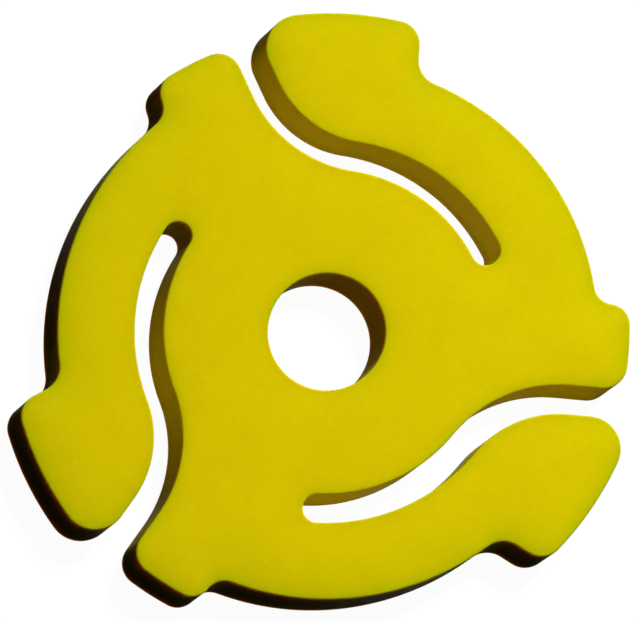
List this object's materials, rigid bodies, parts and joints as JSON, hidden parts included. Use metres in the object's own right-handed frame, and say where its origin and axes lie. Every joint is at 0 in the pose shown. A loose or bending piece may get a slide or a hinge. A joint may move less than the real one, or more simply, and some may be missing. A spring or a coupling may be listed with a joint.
{
  "type": "record spindle adapter",
  "caption": "Flat round insert with springy arms beside S-shaped slots. It snaps into a record's large centre hole and leaves a small bore for a thin spindle.",
  "frame": {"origin": "on the axis of the spindle's bore, at mid-thickness of the plate", "axes": "+Z along the bore, square to the plate; +X towards the middle of a hub tab, which lies about 3.4 degrees clockwise of it"},
  "size_m": [0.0383, 0.0371, 0.0024],
  "materials": {
    "yellow_plastic": "opaque moulded plastic with a dull sheen"
  },
  "bodies": {
    "root": {"adapter_plate": "yellow_plastic"}
  },
  "joints": []
}
